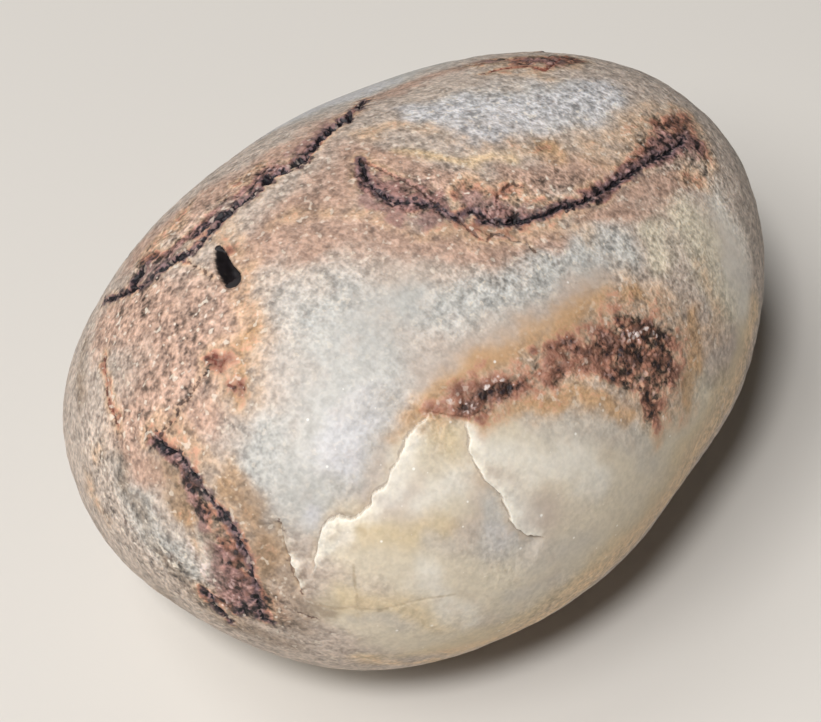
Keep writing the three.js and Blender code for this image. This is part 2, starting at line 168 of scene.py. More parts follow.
# ---- Layer edges: drop, then a path; the ground to the right of it, going along it, is lower ----
LAYER_EDGES = [
    (SHOW_FACE, 0.4, [
        (1.6, -3.4), (0.9, -4.2), (0.2, -4.8), (-0.4, -5.5), (-0.7, -6.4), (-1.2, -7.4), (-1.6, -8.2),
        (-2.2, -9.0), (-2.8, -9.5), (-2.8, -10.0), (-3.4, -10.6), (-4.2, -11.1), (-5.1, -10.9),
        (-5.8, -11.2), (-6.3, -11.7), (-6.5, -12.5), (-6.7, -13.6), (-6.8, -14.5), (-7.0, -15.3)]),
    (SHOW_FACE, 0.4, [
        (4.0, -3.7), (4.0, -5.0), (4.1, -5.7), (4.3, -6.8), (4.7, -7.6), (5.1, -8.3), (5.8, -9.0),
        (6.3, -9.4), (6.5, -10.1), (6.8, -10.6), (7.0, -11.3), (7.4, -11.9), (7.9, -12.2),
        (8.6, -12.4), (9.5, -12.6)]),
    (SHOW_FACE, 0.3, [
        (-9.1, -11.3), (-9.1, -12.5), (-8.9, -13.4), (-8.4, -14.5), (-8.0, -15.3), (-7.6, -16.2)]),
    (SHOW_FACE, 0.2, [  # the lower side of a small ochre chip
        (8.7, 7.6), (8.5, 8.1), (8.2, 8.3), (7.4, 8.4), (6.9, 8.7), (6.5, 9.0), (5.9, 9.0), (5.6, 8.6)]),
    (BACK_FACE, 0.4, [
        (-3.4, 5.4), (-2.2, 4.0), (-2.0, 2.2), (-0.4, 0.9), (0.0, -0.8), (1.6, -2.0), (1.8, -3.8),
        (3.4, -5.2), (3.6, -7.0)]),
]
LAYER_REACH = 4.0  # mm over which the ground comes back up beyond an edge
LAYER_RISER = 0.12  # mm that the drop itself takes up
LAYER_DEPTH = 0.4  # of the edges that show best
LAYER_WANDER = 0.15  # the most that an edge bends aside, as a share of each step
SEED = 7

# ---- Minerals, stains and wear: face, then streaks, each a path of (right, up, radius) ----
STREAKS = {
    "grey": [  # clear grey chalcedony
        (SHOW_FACE, [
            [(-5.6, 2.9, 3.5), (-3.9, 0.1, 3.9), (-4.6, -3.4, 3.9), (-7, -6.9, 3.9), (-7.7, -9.7, 3.2),
             (-6.3, -11.8, 1.8)],
            [(-9.4, -5.5, 1.6), (-10.6, -7.6, 1.4)],
            [(1, 17.4, 1.4), (4.2, 17.9, 2.2), (7.7, 17.9, 2.5), (11.2, 18.3, 2.4), (13.6, 18.6, 1.7)],
            [(-20.3, -7.6, 1.3), (-18.9, -10.4, 1.8), (-17.2, -13.2, 2), (-15.4, -15.3, 1.3)],
            [(-0.7, 4, 1.7), (3.5, 3.8, 1.8), (7, 4.8, 1.7), (10.5, 7.4, 1.7), (14.7, 7.8, 1.7)],
            [(6.3, -10.1, 1.3), (6.6, -13.2, 1.5), (6.3, -16, 1.8)],
        ]),
        (BACK_FACE, [
            [(12, 6.5, 4), (6, 8.5, 4), (0, 7, 3.5)],
            [(-4, -3, 4), (-9, -5, 3)],
            [(14, -6, 3.5), (9, -9, 3)],
            [(-20, -2, 3)],
        ]),
    ],
    "blue": [  # bluish chalcedony
        (SHOW_FACE, [
            [(0.4, 17.4, 1.6), (4.2, 17.7, 2.2), (7.7, 17.5, 2.4), (11.2, 18.1, 2.2), (13.8, 18.9, 1.8)],
            [(3.5, 15.9, 1.3), (6.5, 15.8, 1.2)],
            [(-3.4, -3.6, 1.6), (-5.2, -6.4, 1.6)],
            [(6.3, -12.2, 1.2), (6.2, -14.6, 1.4)],
            [(-6.7, -11.6, 1)],
        ]),
        (BACK_FACE, [
            [(12, 6.5, 3), (6, 8.5, 3)],
        ]),
    ],
    "cream": [  # milky cream layers
        (SHOW_FACE, [
            [(4.9, -5.5, 1.8), (9.1, -6.6, 2.8), (12.6, -6.9, 2.9), (15.7, -8.3, 2.5)],
            [(0, -6.9, 1.5), (2.1, -6.9, 1.8), (2.8, -9.7, 1.8)],
            [(-4.2, -12.5, 2.1), (-0.7, -13.9, 3.2), (3.5, -16, 3.5), (8.4, -16, 3.5), (13.3, -11.8, 3.5),
             (17.5, -6.9, 2.8), (20.3, -2.7, 2.1)],
            [(-4.9, -17.4, 1.8), (-0.7, -19.5, 2.1), (4.9, -19.5, 1.8)],
            [(19, 10.4, 1.8), (20.6, 7.8, 2.6), (22, 4.6, 2.2), (23.6, 2, 1.3)],
            [(17, 9.6, 1.1), (17.6, 6.8, 1.1)],
        ]),
        (BACK_FACE, [
            [(-18, -8, 4), (-10, -11, 5), (0, -13, 5), (10, -13, 5), (18, -9, 4)],
        ]),
        (UNDER_FACE, [
            [(-14, 0, 11), (14, 0, 11)],
        ]),
    ],
    "milk_and_rim_light": [  # the milkiest of the cream, and painted light on the right-hand rim
        (SHOW_FACE, [
            [(4.6, -4.8, 0.9), (5.5, -6.8, 1.1), (8.6, -7.4, 1.6), (11.6, -6.6, 1.7), (13, -8.4, 1.4)],
            [(7.2, -10, 0.9), (8.6, -11.6, 0.7)],
            [(0.2, -6.2, 0.8), (-1.4, -9, 0.9), (-2.2, -10.6, 0.7)],
            [(1, -9.6, 1.2), (3.6, -8.6, 1)],
            [(-4.4, -12.2, 0.8), (-5.8, -13, 0.6)],
            [(0.7, -14.4, 1.2), (4.2, -18.4, 1)],
            # painted light: this streak lightens the right-hand rim, which turns away from the lamps
            [(21.6, 11.2, 1.4), (22.6, 8.6, 2.2), (23.4, 4.4, 2)],
            [(-14.6, -12.8, 0.5), (-14, -15.2, 0.6)],
        ]),
        (BACK_FACE, [
            [(-12, -9, 2), (-6, -10.5, 1.5)],
            [(6, -12, 2)],
        ]),
        (UNDER_FACE, [
            [(-10, -4, 3), (0, 4, 3)],
        ]),
    ],
    "smoky_and_shade": [  # brown-grey darkening: partly brown stain, partly painted shade along the lower-left, left and top rims
        (SHOW_FACE, [
            [(-20.6, -7.2, 1.1), (-18.8, -10.6, 1.1), (-16.4, -15, 1.3), (-12.6, -18.4, 1.4), (-8, -20, 1)],
            [(-17.6, -8, 0.9), (-14.4, -11, 1.6), (-12.4, -14.2, 2), (-10.6, -17.2, 2), (-7.6, -18.6, 1.3)],
            [(-12, -9, 1.2), (-10.4, -12, 1.5), (-9.4, -14.6, 1.5)],
            [(2.4, 20.4, 0.6), (5.4, 20.9, 1.2), (9, 21.1, 1.5), (12, 21, 1)],
            [(-22.9, 1.2, 0.6), (-23, -3, 0.7)],
            [(-8.4, -15, 1.1), (-8.2, -16.8, 1.4), (-5.8, -17.4, 1)],
            [(-17, -16.6, 1.4)],
        ]),
        (BACK_FACE, [
            [(15, -4, 2), (8, -6, 1.5)],
        ]),
    ],
    "veil": [  # thin grey veils under the cream
        (SHOW_FACE, [
            [(6, -9.4, 0.6), (6.8, -12.6, 1.3), (9.6, -13.6, 1.3), (12.4, -12.6, 1.2)],
            [(7, -16.4, 1), (10.6, -15.4, 1.2)],
            [(8, -4.6, 0.8), (12.4, -4.8, 1.2), (15.4, -5.6, 1.2), (17, -7, 1)],
            [(1.4, -12.6, 0.8), (5.2, -13.4, 1)],
            [(-4.2, -3.2, 1.2), (-1.6, -3, 1.1)],
            [(-8.7, 4.4, 1), (-8.4, 0, 1.1), (-8.2, -4.4, 1.3)],
            [(-3.4, -18.2, 0.7), (0.4, -18.6, 0.7)],
        ]),
        (BACK_FACE, [
            [(-14, -7, 2), (-4, -8.5, 1.6)],
            [(12, -8.5, 2)],
        ]),
        (UNDER_FACE, [
            [(8, 6, 3), (-16, 3, 2)],
        ]),
    ],
    "peach_and_glow": [  # peach-coloured layers low on the side, and painted glow where light shines through the lower right rim
        (SHOW_FACE, [
            [(2.8, -20.4, 1.2), (8, -18.6, 1.6), (13, -15, 2), (17.4, -10.4, 2.1), (20.6, -5.6, 2),
             (23, -1, 1.6), (24.2, 4, 1.1)],
            [(-3, -21, 0.9), (2, -21, 0.8)],
            [(-1.2, 14.5, 0.8), (1.4, 14, 0.6), (4.6, 14, 0.8), (7.2, 14.1, 0.8)],
        ]),
        (BACK_FACE, [
            [(-24, -4, 2), (-16, -12, 2), (-6, -15, 2), (6, -15, 2)],
        ]),
    ],
    "honey": [  # honey-yellow bands in the cream
        (SHOW_FACE, [
            [(-2.8, -12, 1.3), (0, -12.2, 1.4), (2.8, -11.7, 1)],
            [(-4.6, -16.7, 1.1), (-0.7, -17.4, 1.4), (3.1, -18.3, 1.4)],
            [(-2.8, -20.8, 0.8), (3.5, -19.8, 1.3), (9.1, -17.4, 1.5), (13.3, -14, 1.6),
             (17.1, -10, 1.8), (19.6, -5.6, 1.6), (22.4, -1, 1.4), (23.6, 3.6, 1)],
            [(1.4, -4.7, 1), (2.6, -6, 1.2)],
            [(6.6, 9.2, 0.4), (8, 8.8, 0.4)],
        ]),
        (BACK_FACE, [
            [(-16, -9, 1.5), (-9, -10.5, 1.5)],
            [(5, -11, 1.3), (12, -11.5, 1.4)],
        ]),
        (UNDER_FACE, [
            [(-8, 3, 3), (-2, 0, 2)],
            [(6, -5, 3), (13, -2, 3)],
        ]),
    ],
    "golden": [  # golden-brown stain at the rim of the rust
        (SHOW_FACE, [
            [(-1.6, -6.2, 0.5), (-0.2, -4.8, 1), (1, -4, 1.2), (2.4, -1.2, 0.8), (5.4, 0.2, 0.9),
             (8.4, 1.4, 1), (10.8, 3, 1.1), (13.2, 4.8, 1)],
            [(19.7, 3.4, 0.8), (20.1, 0.6, 0.8), (19.4, -2.6, 0.7)],
            [(4.4, -4.4, 0.6), (8, -3.5, 0.7), (12, -2.6, 0.8), (15, -3.9, 0.7)],
            [(9.8, 14.9, 1.3)],
            [(15.8, 4.5, 1)],
            [(-13.4, -8.2, 0.6), (-12.4, -10.2, 0.6)],
            [(-12.6, -7.4, 0.8), (-11, -10.6, 1), (-9.8, -14, 1)],
            [(-16.6, -8.6, 0.5), (-15.4, -11.6, 0.6)],
            [(-11.7, 2.2, 0.6), (-12, -2, 0.8)],
        ]),
        (BACK_FACE, [
            [(15.5, 3.6, 1.2), (10.6, 1.2, 1.1)],
            [(-10.4, 5, 1), (-12.6, 0.6, 1)],
        ]),
    ],
    "pink": [  # flesh-pink ground, dusted with iron
        (SHOW_FACE, [
            [(-21.4, 2.5, 2), (-19.3, 3.4, 3), (-16.5, 2.7, 3.4), (-15.1, -0.3, 3), (-18.2, -2.2, 3.2),
             (-20, -4.7, 2)],
            [(-19.4, 7.4, 1.8), (-15.4, 10.6, 1.8), (-11.4, 13, 1.8), (-7.5, 15.4, 1.6), (-4.4, 17.4, 1.2)],
            [(-12.2, 6.7, 1.6), (-9.2, 9.3, 2), (-5.6, 11.6, 2), (-4, 14.6, 2)],
            [(-7.4, 8, 1.5), (-2.8, 9.4, 1.6), (1.5, 8.4, 1.5), (6, 8, 1.4), (10, 8.6, 1.2)],
            [(-1.8, 14, 0.8), (2.1, 12.3, 1.1), (5.6, 12, 1.2), (9.5, 12.8, 1.5), (13.3, 13.3, 1.6)],
            [(-2.5, 18.4, 1.4), (1.4, 20, 1.1), (6.3, 21.1, 1), (10.5, 21.1, 1)],
            [(-12.8, 4.6, 1.4), (-12.8, 1.4, 1.4)],
            [(-16.6, -4.6, 1.7), (-14.4, -4.2, 1.2)],
            [(-19.4, -6.8, 1.2), (-17.8, -8.4, 1)],
            [(12, 9.8, 0.9), (16, 11.6, 1.1), (19.4, 12.9, 1.2)],
            [(-9.6, -17.4, 1.2)],
        ]),
        (BACK_FACE, [
            [(23, 0, 3), (18, 3.5, 4), (13, 2, 3)],
            [(-9, 6, 3), (-13, 3, 3.5)],
            [(4, 1, 2.4), (0, 0, 2)],
        ]),
    ],
    "ochre": [  # ochre that has spread from the iron
        (SHOW_FACE, [
            [(-12.8, 9, 0.9), (-11.5, 6.9, 1.1), (-11.5, 4.3, 1.3), (-11.5, 1, 1.8), (-11.8, -2, 1.9)],
            [(-9.5, 9.5, 0.8), (-6, 10.6, 0.8)],
            [(-3.9, 10.6, 1), (0.7, 9.3, 1.1), (6.3, 9, 1.2), (10.8, 9.4, 0.9), (12.8, 8.6, 0.9)],
            [(-3.2, 16, 0.9), (0.2, 16.6, 1.1), (4, 15.3, 1), (6.6, 15.1, 0.9), (9.7, 14.7, 1.6),
             (13.3, 15.1, 1.5), (16.1, 17.2, 1.5), (19.6, 17.2, 1.2)],
            [(6.5, 20, 0.7), (10, 19.9, 0.8)],
            [(1.4, -3.4, 1.7), (4.5, -1, 2.1), (8, 0.6, 2.3), (11.8, 2.6, 2.4), (15, 4.9, 2.4),
             (18.9, 3.4, 1.8), (19.8, 0.4, 1.8), (19, -3.4, 1.6), (17.4, -5.4, 1)],
            [(4.9, -4.5, 1), (8.5, -3.6, 1), (12.4, -2.6, 1), (15.2, -3, 1)],
            [(-17.8, -3.8, 0.8), (-15.4, -6, 0.7), (-13.2, -8.3, 0.8), (-11.4, -10.6, 0.9),
             (-10, -13.4, 1)],
            [(-17.3, -8.6, 0.6), (-15.8, -11, 0.6), (-14.8, -13.4, 0.5)],
            [(19.3, 12.8, 0.8), (20.9, 12, 0.7)],
            [(20.2, 6.8, 0.9), (21.6, 4, 1.1), (21.2, 1.8, 1.1)],
            [(-22.8, -8.2, 0.9), (-21.6, -10.6, 0.9)],
            [(0.3, -4, 0.8)],
            [(-22, -6.2, 1)],
        ]),
        (BACK_FACE, [
            [(20, 5, 1.4), (15.5, 2.4, 2), (11, -0.4, 1.8), (5, -2.8, 1.3)],
            [(-9.5, 8.6, 1.3), (-12, 5, 2), (-14, 0.5, 2)],
            [(0.5, -1.5, 1.5)],
        ]),
    ],
    "rust": [  # rust, where the iron is thick
        (SHOW_FACE, [
            [(1.8, -3.8, 1), (4.7, -2.8, 1.5), (7.4, -1.9, 1.4), (10.2, -0.5, 1.5), (12.6, 0.5, 1.6),
             (15.8, 1, 2.3), (18, 0, 1.8), (17.3, -3, 1.2), (16.8, -4.3, 1.1)],
            [(3.3, -1.7, 0.9), (5, -1.4, 0.8)],
            [(3.2, -4, 0.7), (5.4, -3.9, 0.5)],
            [(-14.2, -0.1, 0.5), (-13.2, -0.2, 0.5), (-12.5, 0.2, 0.4)],
            [(-12.6, -1.7, 0.25)],
            [(-11.9, -1.6, 0.25)],
            [(-3.6, 13.4, 0.7), (-2.2, 12.6, 1), (-0.5, 12, 0.9), (1.3, 11.4, 0.7)],
            [(3.2, 11.6, 0.8), (4.6, 12.3, 1.1), (6.6, 12, 1), (8.2, 11.4, 0.6), (10.5, 11.2, 0.4),
             (13, 12.4, 0.7)],
            [(14.9, 13.2, 0.7), (16.9, 15.4, 1), (20.2, 15.6, 1.4), (21, 14, 1.3),
             (19.4, 13.2, 1)],
            [(-12.4, 8.1, 0.6), (-11.7, 6.9, 0.5)],
            [(-18.4, 7.8, 0.8), (-16.7, 9.5, 1), (-15.4, 11.2, 0.6)],
            [(-12.5, 12.5, 0.5), (-10.7, 13.5, 0.6)],
            [(4.4, 20.7, 0.6), (8.4, 21, 1), (11.4, 21.1, 1.3)],
            [(-21.5, -0.1, 0.4), (-20.8, -3.6, 0.4), (-20.1, -5.7, 0.4)],
            [(-13.2, -13.4, 0.6), (-12.2, -15.6, 0.8), (-11, -17.2, 0.7)],
            [(-18.4, -5, 0.7), (-17, -6.4, 0.8), (-15.2, -8.6, 0.5)],
            [(9.4, 14.8, 0.7)],
        ]),
        (BACK_FACE, [
            [(17.5, 3, 0.9), (12.5, 0.4, 1.3), (9.5, -0.6, 0.9)],
            [(-11.4, 6, 0.9), (-13.8, 2, 1.4), (-14.4, -1, 0.8)],
        ]),
    ],
    "mauve": [  # mauve dust of manganese along the fissures
        (SHOW_FACE, [
            [(-3.2, 11.2, 0.6), (-0.6, 10, 0.7), (2, 9.8, 0.5)],
            [(-2.6, 13, 0.8), (-0.8, 12.2, 0.8), (0.9, 11.7, 0.7), (2, 11, 0.5)],
            [(-3.6, 13.8, 0.6), (-3, 12.4, 0.8), (-1.8, 11.8, 0.9), (0, 11.2, 0.8), (2.2, 10.6, 0.6)],
            [(4.4, 11.2, 1), (6.6, 10.8, 0.8), (9, 10.6, 0.45), (11.4, 11.2, 0.45), (13.6, 12.5, 0.7),
             (16, 13.8, 0.6), (18.4, 15.2, 1.1), (20.4, 14.8, 1.1)],
            [(-19.4, 5.8, 0.6), (-17.6, 7, 0.7), (-15.4, 8.8, 0.9), (-13.8, 10.1, 0.8),
             (-10.4, 12.9, 0.8), (-8.4, 14.2, 0.8), (-5.6, 16.8, 0.6)],
            [(-17.8, -6, 0.6), (-16.4, -8, 0.5), (-14.8, -10.8, 0.5), (-13.8, -13, 0.6),
             (-12.8, -15.8, 1.4), (-11.4, -17.4, 1.1)],
            [(5, 21, 0.5), (10, 21, 0.7)],
        ]),
        (BACK_FACE, [
            [(16.5, 2.4, 0.7), (12, 0, 0.8), (6.6, -2.5, 0.5)],
            [(-11.6, 5, 0.7), (-13.9, 1.8, 0.8)],
        ]),
    ],
    "purple": [  # purple-brown manganese
        (SHOW_FACE, [
            [(3.6, -3.5, 0.4), (5, -2.8, 0.7), (6.6, -2.3, 0.6), (7.6, -1.7, 0.4)],
            [(9.2, 0.6, 0.35), (10.4, 1.3, 0.5), (11.6, 1.6, 0.5), (12.8, 1.7, 0.5)],
            [(10.4, -1.3, 0.65)],
            [(13.8, -0.6, 0.6), (15.4, -1, 0.8)],
            [(14, 1.4, 0.8), (16, 1.9, 1), (17.9, 1.2, 1), (18.3, -0.3, 1), (16.8, -0.2, 1.1),
             (15, 0.8, 0.8)],
            [(14.8, 3, 0.5)],
            [(16.6, -2, 0.9), (17, -3.8, 0.8)],
            [(-3.5, 13.4, 0.4), (-2.8, 11.9, 0.4), (-0.4, 10.9, 0.5), (2.6, 10.2, 0.4)],
            [(4.6, 10.5, 0.5), (6.6, 10.4, 0.7), (8.5, 10.3, 0.4), (11.4, 11, 0.35)],
            [(11.6, 11, 0.35), (12.9, 12, 0.5), (16.1, 13.9, 0.5), (17.8, 14.9, 0.5),
             (19.4, 15.9, 0.7), (20.5, 14.6, 0.6)],
            [(17.4, 16.5, 0.5), (19.2, 16.9, 0.7)],
            [(-18.9, 6.9, 0.7), (-17, 7.8, 0.6), (-15, 9.2, 0.8), (-13.6, 10.6, 0.5), (-10.2, 13.1, 0.7),
             (-8.7, 13.8, 0.8), (-7, 14.9, 0.5)],
            [(-17.7, -5.9, 0.5), (-16.3, -8, 0.5), (-15, -10, 0.8), (-13, -12.4, 0.9),
             (-12.3, -14.8, 1.1), (-11.2, -16.7, 1.3)],
            [(-14.1, -16.8, 0.7), (-12.2, -17.4, 0.8)],
            [(6, 21.2, 0.5), (8.6, 21.1, 0.8), (10.9, 21.1, 1.1)],
        ]),
        (BACK_FACE, [
            [(16.5, 2.4, 0.6), (12, 0, 0.9)],
            [(-11.6, 5, 0.6), (-13.9, 1.8, 1)],
            [(4.6, -3.2, 0.6)],
        ]),
    ],
    "crystal": [  # clusters of small quartz crystals
        (SHOW_FACE, [
            [(-10, 13.3, 0.3), (-8.7, 13.9, 0.5), (-7.5, 14.6, 0.3)],
            [(-19.1, 6.4, 0.2)],
            [(-15.6, -12.4, 0.5), (-14.9, -14.8, 0.5)],
            [(-13, -15.6, 0.8), (-12.2, -17.4, 0.7)],
            [(4.4, 10.4, 0.2), (5.7, 10.4, 0.3)],
            [(3.2, -2.8, 0.5), (4.2, -2.6, 0.5)],
            [(5.6, -1.8, 0.5), (6.6, -1.9, 0.5)],
            [(11.6, -0.2, 0.6)],
            [(15, 2.2, 0.3), (17.6, 1.6, 0.35)],
        ]),
        (BACK_FACE, [
            [(12, -0.1, 0.5)],
            [(-13.9, 1.8, 0.5)],
        ]),
    ],
    "worn": [  # where water has worn the ground smooth
        (SHOW_FACE, [
            [(4.9, -5.5, 2.8), (9.1, -6.6, 3.5), (12.6, -6.9, 3.5), (16.1, -8.3, 3.2), (20.3, -4.1, 2.8)],
            [(-0.7, -8.3, 2.8), (-2.8, -12.5, 3.2), (1.4, -15.3, 3.9), (6.3, -16.7, 3.9),
             (11.9, -13.2, 3.9), (16.8, -9.7, 3.5)],
            [(-4.9, -17.4, 2.4), (-0.7, -19.9, 2.4), (4.9, -19.5, 2.4)],
            [(0, -9.8, 2.6), (5, -10.4, 3), (10, -10.6, 3)],
            [(1, -1.2, 1.6), (5, 1, 1.8), (10, 3.4, 1.8), (13, 6, 1.6)],
            [(22, 8.5, 2.2), (23.4, 4.6, 2.2), (22.6, 0, 2)],
            [(-0.7, 4.3, 2.8), (-4.2, 0.1, 4.6), (-5.6, -4.1, 4.6), (-7.7, -8.3, 3.9), (-7, -11.8, 2.1)],
        ]),
        (BACK_FACE, [
            [(-18, -8, 4.5), (-10, -11, 5.5), (0, -13, 5.5), (10, -13, 5.5), (18, -9, 4.5)],
            [(10, 7, 3.5), (2, 8, 3)],
        ]),
        (UNDER_FACE, [
            [(-14, 0, 12), (14, 0, 12)],
        ]),
    ],
    "coarse": [  # where the ground is coarse
        (SHOW_FACE, [
            [(-21, 2.2, 2.4), (-18.2, 3.6, 3.5), (-15.4, 1.5, 3.9), (-16.8, -2.7, 2.8),
             (-20.3, -4.8, 2.1)],
            [(-22.4, -4.8, 1.3), (-21, -9.7, 1.8), (-18.2, -13.9, 2.1), (-14, -16.7, 2.4),
             (-9.8, -17.4, 1.7)],
            [(17.5, 14.8, 2.1), (20.3, 14.1, 1.8)],
            [(0.7, 12, 1.4), (6.3, 11.6, 1.4), (10.5, 12.3, 1.3)],
            [(-16.8, 8.5, 1.4), (-13.3, 10.9, 1.1), (-9.1, 13.7, 1)],
        ]),
        (BACK_FACE, [
            [(23, 0, 3), (18, 3.5, 4.5), (13, 2, 3)],
            [(-9, 6, 3), (-13, 2, 4)],
        ]),
    ],
}


def heading(longitude, latitude):
    lon, lat = math.radians(longitude), math.radians(latitude)
    return np.array([math.cos(lat) * math.cos(lon), math.cos(lat) * math.sin(lon), math.sin(lat)])


def chart_axes(face):
    """Right, up and towards-the-eye unit vectors."""
    right = heading(face["bearing"], 0)
    towards = heading(face["bearing"] - 90, face["height"])
    return right, np.cross(towards, right), towards


show_right, show_up, show_towards = chart_axes(SHOW_FACE)
swells = [(heading(lon, lat), math.radians(spread), rise) for lon, lat, spread, rise in OTHER_SWELLS]
for i, rise in enumerate(RIM_SWELLS):
    turn = (i + 0.5) * 2 * math.pi / len(RIM_SWELLS)
    towards = show_right * math.cos(turn) + show_up * math.sin(turn)
    swells.append((towards, math.radians(RIM_SWELL_SPREAD), rise))


def form_radius(directions):
    """Distance from CENTRE to the smooth form in each direction."""
    x, y, z = directions.T
    width = HALF_WIDTH * (1 + WIDTH_TAPER * x)
    height = HALF_HEIGHT * (1 + HEIGHT_TAPER * x)
    radius = 1 / np.sqrt((x / HALF_LENGTH) ** 2 + (y / width) ** 2 + (z / height) ** 2)
    for towards, spread, rise in swells:
        turn = np.arccos(np.clip(directions @ towards, -1, 1)) / spread
        radius = radius + rise * np.exp(-turn * turn)
    return radius


def unit(vectors):
    return vectors / np.linalg.norm(vectors, axis=-1, keepdims=True)


def on_form(face, places):
    """The points of the form where the rays through a chart's places first meet it."""
    right, up, towards = chart_axes(face)
    middle = right * face["middle"][0] + up * face["middle"][1]
    eye = middle + towards * EYE_DISTANCE
    points = []
    for x, y in places:
        ray = unit(middle + right * x + up * y - eye)
        along = np.arange(EYE_DISTANCE - HALF_LENGTH, EYE_DISTANCE + HALF_LENGTH, RAY_STEP)
        path = eye + along[:, None] * ray
        above = np.linalg.norm(path, axis=1) - form_radius(unit(path))
        inside = np.flatnonzero(above <= 0)
        first = inside[0] if len(inside) else above.argmin()
        direction = unit(path[first])
        points.append(direction * form_radius(direction[None])[0])
    return np.array(points)


def smoothstep(value, low, high):
    share = np.clip((value - low) / (high - low), 0, 1)
    return share * share * (3 - 2 * share)


def bent(path):
    """A path with a bend halfway along each step, aside by a random share of the step."""
    shares = LAYER_WANDER * draw.uniform(-1, 1, len(path))
    bends = [
        ((x0 + x1) / 2 + share * (y1 - y0), (y0 + y1) / 2 - share * (x1 - x0))
        for (x0, y0), (x1, y1), share in zip(path, path[1:], shares)
    ]
    return [place for pair in zip(path, bends + [None]) for place in pair][:-1]


class Line:
    """A mark along a path on the form. Points here are measured from CENTRE."""

    def __init__(self, face, depth, path):
        self.depth = depth
        self.points = on_form(face, [place[:2] for place in path])
        self.widths = np.array([place[2] if len(place) > 2 else 0 for place in path])
        steps = np.linalg.norm(np.diff(self.points, axis=0), axis=1)
        self.shares = np.append(0, np.cumsum(steps)) / steps.sum()

    def beside(self, points, reach):
        """How far to the right of the path each point lies (negative: left), the place's share of the
        path's length, and the half width there. Points further than reach are left at infinity."""
        right = np.full(len(points), np.inf)
        share, width = np.zeros(len(points)), np.full(len(points), self.widths[0])
        lows, highs = self.points.min(0) - reach, self.points.max(0) + reach
        near = np.flatnonzero(((points > lows) & (points < highs)).all(1))
        best = np.full(len(near), float(reach))
        for i, (start, end) in enumerate(zip(self.points, self.points[1:])):
            step = end - start
            along = np.clip((points[near] - start) @ step / (step @ step), 0, 1)
            offset = points[near] - start - along[:, None] * step
            away = np.linalg.norm(offset, axis=1)
            nearer = away < best
            best[nearer] = away[nearer]
            to_left = (offset * np.cross(points[near], step)).sum(1) > 0
            found = near[nearer]
            right[found] = np.where(to_left, -away, away)[nearer]
            share[found] = (self.shares[i] + along * (self.shares[i + 1] - self.shares[i]))[nearer]
            width[found] = (self.widths[i] + along * (self.widths[i + 1] - self.widths[i]))[nearer]
        return right, share, width


fissures = [Line(*mark) for mark in FISSURES]
veins = [Line(*mark) for mark in VEINS]
hair_cracks = [Line(*mark) for mark in HAIR_CRACKS]
seams = [Line(*mark) for mark in SEAMS]
pits = [Line(*mark) for mark in PITS]
draw = np.random.default_rng(SEED)
layer_edges = [Line(face, drop, bent(bent(path))) for face, drop, path in LAYER_EDGES]

STREAK_FALL = 0.9  # how steeply a streak's cover falls


def streak_cover(points, face, streak):
    """How fully a streak covers each point: 1 along its path, 0.4 at its radius, and fading out."""
    middles = on_form(face, [place[:2] for place in streak])
    radii = [place[2] for place in streak]
    last = len(streak) - 1
    cover = np.zeros(len(points))
    for i in range(max(last, 1)):
        start, step = middles[i], middles[min(i + 1, last)] - middles[i]
        along = np.clip((points - start) @ step / max(step @ step, 1e-9), 0, 1)
        away = np.linalg.norm(points - start - along[:, None] * step, axis=1)
        radius = radii[i] + along * (radii[min(i + 1, last)] - radii[i])
        cover = np.maximum(cover, np.exp(-STREAK_FALL * (away / radius) ** 2))
    return cover


def whole_cover(points, name):
    """How fully all the streaks of one name cover each point."""
    bare = np.ones(len(points))
    for face, streaks in STREAKS[name]:
        for streak in streaks:
            bare *= 1 - streak_cover(points, face, streak)
    return 1 - bare


# ---- The mesh: an icosphere of directions, finer at the marks, with edges along the layers' lips ----
SPHERE_LEVEL = 7  # edges of about 0.4 mm
FINE_BANDS = [0.8, 0.36]  # mm from a mark within which the edges are halved, and halved again
STAINED_FROM = 0.42  # the stained ground is as fine as the marks
CUT_MARGIN = 0.1  # share of an edge at each end where it isn't cut


def coordinates(bm):
    return np.array([vert.co for vert in bm.verts])


def lay_on_form(bm):
    directions = unit(coordinates(bm))
    for vert, point in zip(bm.verts, directions * form_radius(directions)[:, None]):
        vert.co = point
    bm.verts.index_update()


def outside_marks(points, reach):
    """Distance from each point to the outside of the nearest mark."""
    away = np.full(len(points), np.inf)
    for mark in fissures + veins + hair_cracks + seams + pits + layer_edges:
        right, _, width = mark.beside(points, reach)
        away = np.minimum(away, np.abs(right) - width)
    return away


def halve_edges(bm, wanted):
    """Halves the edges with both ends among the wanted vertices, and the triangles along them."""
    edges = [edge for edge in bm.edges if all(wanted[v.index] for v in edge.verts)]
    bmesh.ops.subdivide_edges(bm, edges=edges, cuts=1)
    bmesh.ops.triangulate(bm, faces=[face for face in bm.faces if len(face.verts) > 3])
    lay_on_form(bm)


def cut_along(bm, mark, offset):
    """Puts edges along the line at one distance to the right of a mark's path."""
    beyond = mark.beside(coordinates(bm), 1.0)[0] - offset
    fresh = []
    for edge in list(bm.edges):
        start, end = (beyond[v.index] for v in edge.verts)
        if not (np.isfinite(start) and np.isfinite(end)) or start * end >= 0:
            continue
        share = start / (start - end)
        if CUT_MARGIN < share < 1 - CUT_MARGIN:
            fresh.append(bmesh.utils.edge_split(edge, edge.verts[0], share)[1])
    bmesh.ops.connect_verts(bm, verts=fresh)
    bmesh.ops.triangulate(bm, faces=[face for face in bm.faces if len(face.verts) > 3])
    lay_on_form(bm)


